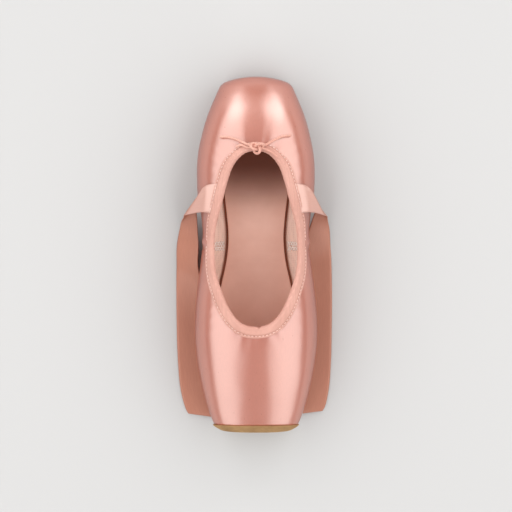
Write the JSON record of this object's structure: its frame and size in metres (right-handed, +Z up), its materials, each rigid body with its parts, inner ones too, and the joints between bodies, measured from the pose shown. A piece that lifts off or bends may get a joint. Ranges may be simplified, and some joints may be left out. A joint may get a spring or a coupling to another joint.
{
  "type": "pointe shoe",
  "caption": "Pink satin pointe shoe with flat suede-tipped platform, wide throat, rolled collar binding, heel drawstring and folded ankle ribbons",
  "frame": {"origin": "on the floor under the middle of the shoe's overall box", "axes": "+Z up from the sole plane, -Y towards the toe, +Y towards the heel, X across the shoe"},
  "size_m": [0.1046, 0.2348, 0.0551],
  "materials": {
    "satin": "pale pink satin, soft sheen along the foot",
    "sole_leather": "natural leather, buffed",
    "insole_cloth": "matt pink cotton over board",
    "suede": "tan suede nap",
    "binding": "matt cotton tape",
    "drawstring": "braided cotton cord",
    "ribbon": "pale pink satin ribbon"
  },
  "bodies": {
    "root": {"upper": "satin", "outsole": "sole_leather", "insole": "insole_cloth", "toe_tip": "suede", "collar_binding": "binding", "drawstring_knot": "drawstring", "drawstring_end_left": "drawstring", "drawstring_end_right": "drawstring", "drawstring_lead_left": "drawstring", "drawstring_lead_right": "drawstring", "ribbon_left": "ribbon", "ribbon_right": "ribbon"}
  },
  "joints": []
}
